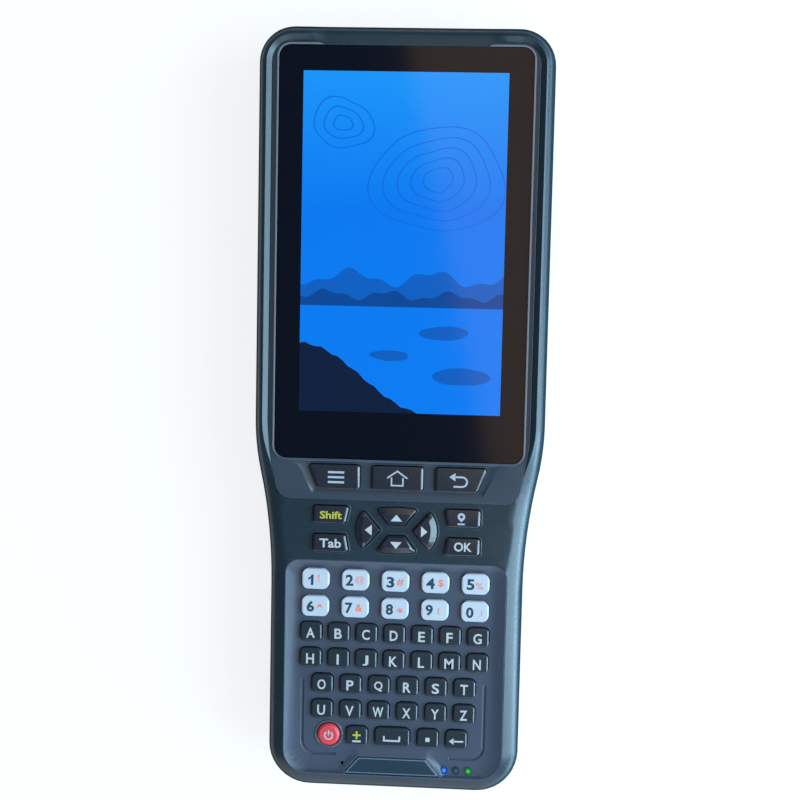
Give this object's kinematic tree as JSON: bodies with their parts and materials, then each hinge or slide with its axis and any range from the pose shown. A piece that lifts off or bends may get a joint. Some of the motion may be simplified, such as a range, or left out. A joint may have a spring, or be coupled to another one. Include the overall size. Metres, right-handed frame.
{
  "type": "handheld data collector",
  "caption": "Rugged handheld data collector: touch screen head over a narrower keypad grip, moulded case, keys that press in and a hinged port cover.",
  "frame": {"origin": "under the middle of the case, on the plane that its flat back rests on", "axes": "+Y runs to the screen end, +Z comes out of the face, +X is to the right for a reader of the screen"},
  "size_m": [0.0816, 0.2148, 0.03],
  "materials": {
    "case": "fine texture",
    "trim": "satin",
    "cover_glass": "polished",
    "display": "lit",
    "mat": "matte",
    "steel": "satin",
    "board": "solder mask",
    "rubber": "matte",
    "battery": "satin",
    "light_pipe": "clear",
    "plate": "satin",
    "camera": "polished",
    "dark_key": "satin",
    "pale_key": "satin",
    "red_key": "satin"
  },
  "bodies": {
    "case": {"front_housing": "case", "rear_housing": "case", "screen_bezel": "trim", "keypad_panel": "trim", "touch_glass": "cover_glass", "display_module": "display", "keypad_mat": "mat", "dome_switches": "steel", "main_board": "board", "case_seal": "rubber", "case_screws": "steel", "battery_pack": "battery", "battery_cover": "case", "cover_screws": "steel", "status_lights": "light_pipe", "nameplate": "plate", "rear_camera": "camera"},
    "port_flap": {"port_cover": "rubber"},
    "key_menu": {"key_menu": "dark_key"},
    "key_home": {"key_home": "dark_key"},
    "key_back": {"key_back": "dark_key"},
    "key_shift": {"key_shift": "dark_key"},
    "key_tab": {"key_tab": "dark_key"},
    "key_locate": {"key_locate": "dark_key"},
    "key_ok": {"key_ok": "dark_key"},
    "key_up": {"key_up": "dark_key"},
    "key_down": {"key_down": "dark_key"},
    "key_left": {"key_left": "dark_key"},
    "key_right": {"key_right": "dark_key"},
    "key_1": {"key_1": "pale_key"},
    "key_2": {"key_2": "pale_key"},
    "key_3": {"key_3": "pale_key"},
    "key_4": {"key_4": "pale_key"},
    "key_5": {"key_5": "pale_key"},
    "key_6": {"key_6": "pale_key"},
    "key_7": {"key_7": "pale_key"},
    "key_8": {"key_8": "pale_key"},
    "key_9": {"key_9": "pale_key"},
    "key_0": {"key_0": "pale_key"},
    "key_a": {"key_a": "dark_key"},
    "key_b": {"key_b": "dark_key"},
    "key_c": {"key_c": "dark_key"},
    "key_d": {"key_d": "dark_key"},
    "key_e": {"key_e": "dark_key"},
    "key_f": {"key_f": "dark_key"},
    "key_g": {"key_g": "dark_key"},
    "key_h": {"key_h": "dark_key"},
    "key_i": {"key_i": "dark_key"},
    "key_j": {"key_j": "dark_key"},
    "key_k": {"key_k": "dark_key"},
    "key_l": {"key_l": "dark_key"},
    "key_m": {"key_m": "dark_key"},
    "key_n": {"key_n": "dark_key"},
    "key_power": {"key_power": "red_key"},
    "key_plus_minus": {"key_plus_minus": "dark_key"},
    "key_space": {"key_space": "dark_key"},
    "key_point": {"key_point": "dark_key"},
    "key_erase": {"key_erase": "dark_key"},
    "keys_o_to_t": {"keys_o_to_t": "dark_key"},
    "keys_u_to_z": {"keys_u_to_z": "dark_key"}
  },
  "joints": [
    {"name": "port_cover_hinge", "type": "hinge", "parent": "case", "child": "port_flap", "pos_m": [0, -0.1067, 0.01655], "axis": [1, 0, 0], "range_deg": [0, 90]},
    {"name": "key_menu_press", "type": "slide", "parent": "case", "child": "key_menu", "axis": [0, 0, -1], "range_m": [0, 0.0008], "stiffness_N_per_m": 400, "springref_m": -0.001, "deforming": ["keypad_mat"]},
    {"name": "key_home_press", "type": "slide", "parent": "case", "child": "key_home", "axis": [0, 0, -1], "range_m": [0, 0.0008], "stiffness_N_per_m": 400, "springref_m": -0.001, "deforming": ["keypad_mat"]},
    {"name": "key_back_press", "type": "slide", "parent": "case", "child": "key_back", "axis": [0, 0, -1], "range_m": [0, 0.0008], "stiffness_N_per_m": 400, "springref_m": -0.001, "deforming": ["keypad_mat"]},
    {"name": "key_shift_press", "type": "slide", "parent": "case", "child": "key_shift", "axis": [0, 0, -1], "range_m": [0, 0.0008], "stiffness_N_per_m": 400, "springref_m": -0.001, "deforming": ["keypad_mat"]},
    {"name": "key_tab_press", "type": "slide", "parent": "case", "child": "key_tab", "axis": [0, 0, -1], "range_m": [0, 0.0008], "stiffness_N_per_m": 400, "springref_m": -0.001, "deforming": ["keypad_mat"]},
    {"name": "key_locate_press", "type": "slide", "parent": "case", "child": "key_locate", "axis": [0, 0, -1], "range_m": [0, 0.0008], "stiffness_N_per_m": 400, "springref_m": -0.001, "deforming": ["keypad_mat"]},
    {"name": "key_ok_press", "type": "slide", "parent": "case", "child": "key_ok", "axis": [0, 0, -1], "range_m": [0, 0.0008], "stiffness_N_per_m": 400, "springref_m": -0.001, "deforming": ["keypad_mat"]},
    {"name": "key_up_press", "type": "slide", "parent": "case", "child": "key_up", "axis": [0, 0, -1], "range_m": [0, 0.0008], "stiffness_N_per_m": 400, "springref_m": -0.001, "deforming": ["keypad_mat"]},
    {"name": "key_down_press", "type": "slide", "parent": "case", "child": "key_down", "axis": [0, 0, -1], "range_m": [0, 0.0008], "stiffness_N_per_m": 400, "springref_m": -0.001, "deforming": ["keypad_mat"]},
    {"name": "key_left_press", "type": "slide", "parent": "case", "child": "key_left", "axis": [0, 0, -1], "range_m": [0, 0.0008], "stiffness_N_per_m": 400, "springref_m": -0.001, "deforming": ["keypad_mat"]},
    {"name": "key_right_press", "type": "slide", "parent": "case", "child": "key_right", "axis": [0, 0, -1], "range_m": [0, 0.0008], "stiffness_N_per_m": 400, "springref_m": -0.001, "deforming": ["keypad_mat"]},
    {"name": "key_1_press", "type": "slide", "parent": "case", "child": "key_1", "axis": [0, 0, -1], "range_m": [0, 0.0008], "stiffness_N_per_m": 400, "springref_m": -0.001, "deforming": ["keypad_mat"]},
    {"name": "key_2_press", "type": "slide", "parent": "case", "child": "key_2", "axis": [0, 0, -1], "range_m": [0, 0.0008], "stiffness_N_per_m": 400, "springref_m": -0.001, "deforming": ["keypad_mat"]},
    {"name": "key_3_press", "type": "slide", "parent": "case", "child": "key_3", "axis": [0, 0, -1], "range_m": [0, 0.0008], "stiffness_N_per_m": 400, "springref_m": -0.001, "deforming": ["keypad_mat"]},
    {"name": "key_4_press", "type": "slide", "parent": "case", "child": "key_4", "axis": [0, 0, -1], "range_m": [0, 0.0008], "stiffness_N_per_m": 400, "springref_m": -0.001, "deforming": ["keypad_mat"]},
    {"name": "key_5_press", "type": "slide", "parent": "case", "child": "key_5", "axis": [0, 0, -1], "range_m": [0, 0.0008], "stiffness_N_per_m": 400, "springref_m": -0.001, "deforming": ["keypad_mat"]},
    {"name": "key_6_press", "type": "slide", "parent": "case", "child": "key_6", "axis": [0, 0, -1], "range_m": [0, 0.0008], "stiffness_N_per_m": 400, "springref_m": -0.001, "deforming": ["keypad_mat"]},
    {"name": "key_7_press", "type": "slide", "parent": "case", "child": "key_7", "axis": [0, 0, -1], "range_m": [0, 0.0008], "stiffness_N_per_m": 400, "springref_m": -0.001, "deforming": ["keypad_mat"]},
    {"name": "key_8_press", "type": "slide", "parent": "case", "child": "key_8", "axis": [0, 0, -1], "range_m": [0, 0.0008], "stiffness_N_per_m": 400, "springref_m": -0.001, "deforming": ["keypad_mat"]},
    {"name": "key_9_press", "type": "slide", "parent": "case", "child": "key_9", "axis": [0, 0, -1], "range_m": [0, 0.0008], "stiffness_N_per_m": 400, "springref_m": -0.001, "deforming": ["keypad_mat"]},
    {"name": "key_0_press", "type": "slide", "parent": "case", "child": "key_0", "axis": [0, 0, -1], "range_m": [0, 0.0008], "stiffness_N_per_m": 400, "springref_m": -0.001, "deforming": ["keypad_mat"]},
    {"name": "key_a_press", "type": "slide", "parent": "case", "child": "key_a", "axis": [0, 0, -1], "range_m": [0, 0.0008], "stiffness_N_per_m": 400, "springref_m": -0.001, "deforming": ["keypad_mat"]},
    {"name": "key_b_press", "type": "slide", "parent": "case", "child": "key_b", "axis": [0, 0, -1], "range_m": [0, 0.0008], "stiffness_N_per_m": 400, "springref_m": -0.001, "deforming": ["keypad_mat"]},
    {"name": "key_c_press", "type": "slide", "parent": "case", "child": "key_c", "axis": [0, 0, -1], "range_m": [0, 0.0008], "stiffness_N_per_m": 400, "springref_m": -0.001, "deforming": ["keypad_mat"]},
    {"name": "key_d_press", "type": "slide", "parent": "case", "child": "key_d", "axis": [0, 0, -1], "range_m": [0, 0.0008], "stiffness_N_per_m": 400, "springref_m": -0.001, "deforming": ["keypad_mat"]},
    {"name": "key_e_press", "type": "slide", "parent": "case", "child": "key_e", "axis": [0, 0, -1], "range_m": [0, 0.0008], "stiffness_N_per_m": 400, "springref_m": -0.001, "deforming": ["keypad_mat"]},
    {"name": "key_f_press", "type": "slide", "parent": "case", "child": "key_f", "axis": [0, 0, -1], "range_m": [0, 0.0008], "stiffness_N_per_m": 400, "springref_m": -0.001, "deforming": ["keypad_mat"]},
    {"name": "key_g_press", "type": "slide", "parent": "case", "child": "key_g", "axis": [0, 0, -1], "range_m": [0, 0.0008], "stiffness_N_per_m": 400, "springref_m": -0.001, "deforming": ["keypad_mat"]},
    {"name": "key_h_press", "type": "slide", "parent": "case", "child": "key_h", "axis": [0, 0, -1], "range_m": [0, 0.0008], "stiffness_N_per_m": 400, "springref_m": -0.001, "deforming": ["keypad_mat"]},
    {"name": "key_i_press", "type": "slide", "parent": "case", "child": "key_i", "axis": [0, 0, -1], "range_m": [0, 0.0008], "stiffness_N_per_m": 400, "springref_m": -0.001, "deforming": ["keypad_mat"]},
    {"name": "key_j_press", "type": "slide", "parent": "case", "child": "key_j", "axis": [0, 0, -1], "range_m": [0, 0.0008], "stiffness_N_per_m": 400, "springref_m": -0.001, "deforming": ["keypad_mat"]},
    {"name": "key_k_press", "type": "slide", "parent": "case", "child": "key_k", "axis": [0, 0, -1], "range_m": [0, 0.0008], "stiffness_N_per_m": 400, "springref_m": -0.001, "deforming": ["keypad_mat"]},
    {"name": "key_l_press", "type": "slide", "parent": "case", "child": "key_l", "axis": [0, 0, -1], "range_m": [0, 0.0008], "stiffness_N_per_m": 400, "springref_m": -0.001, "deforming": ["keypad_mat"]},
    {"name": "key_m_press", "type": "slide", "parent": "case", "child": "key_m", "axis": [0, 0, -1], "range_m": [0, 0.0008], "stiffness_N_per_m": 400, "springref_m": -0.001, "deforming": ["keypad_mat"]},
    {"name": "key_n_press", "type": "slide", "parent": "case", "child": "key_n", "axis": [0, 0, -1], "range_m": [0, 0.0008], "stiffness_N_per_m": 400, "springref_m": -0.001, "deforming": ["keypad_mat"]},
    {"name": "key_power_press", "type": "slide", "parent": "case", "child": "key_power", "axis": [0, 0, -1], "range_m": [0, 0.0008], "stiffness_N_per_m": 400, "springref_m": -0.001, "deforming": ["keypad_mat"]},
    {"name": "key_plus_minus_press", "type": "slide", "parent": "case", "child": "key_plus_minus", "axis": [0, 0, -1], "range_m": [0, 0.0008], "stiffness_N_per_m": 400, "springref_m": -0.001, "deforming": ["keypad_mat"]},
    {"name": "key_space_press", "type": "slide", "parent": "case", "child": "key_space", "axis": [0, 0, -1], "range_m": [0, 0.0008], "stiffness_N_per_m": 400, "springref_m": -0.001, "deforming": ["keypad_mat"]},
    {"name": "key_point_press", "type": "slide", "parent": "case", "child": "key_point", "axis": [0, 0, -1], "range_m": [0, 0.0008], "stiffness_N_per_m": 400, "springref_m": -0.001, "deforming": ["keypad_mat"]},
    {"name": "key_erase_press", "type": "slide", "parent": "case", "child": "key_erase", "axis": [0, 0, -1], "range_m": [0, 0.0008], "stiffness_N_per_m": 400, "springref_m": -0.001, "deforming": ["keypad_mat"]},
    {"name": "keys_o_to_t_press", "type": "slide", "parent": "case", "child": "keys_o_to_t", "axis": [0, 0, -1], "range_m": [0, 0.0008], "stiffness_N_per_m": 400, "springref_m": -0.001, "deforming": ["keypad_mat"]},
    {"name": "keys_u_to_z_press", "type": "slide", "parent": "case", "child": "keys_u_to_z", "axis": [0, 0, -1], "range_m": [0, 0.0008], "stiffness_N_per_m": 400, "springref_m": -0.001, "deforming": ["keypad_mat"]}
  ]
}
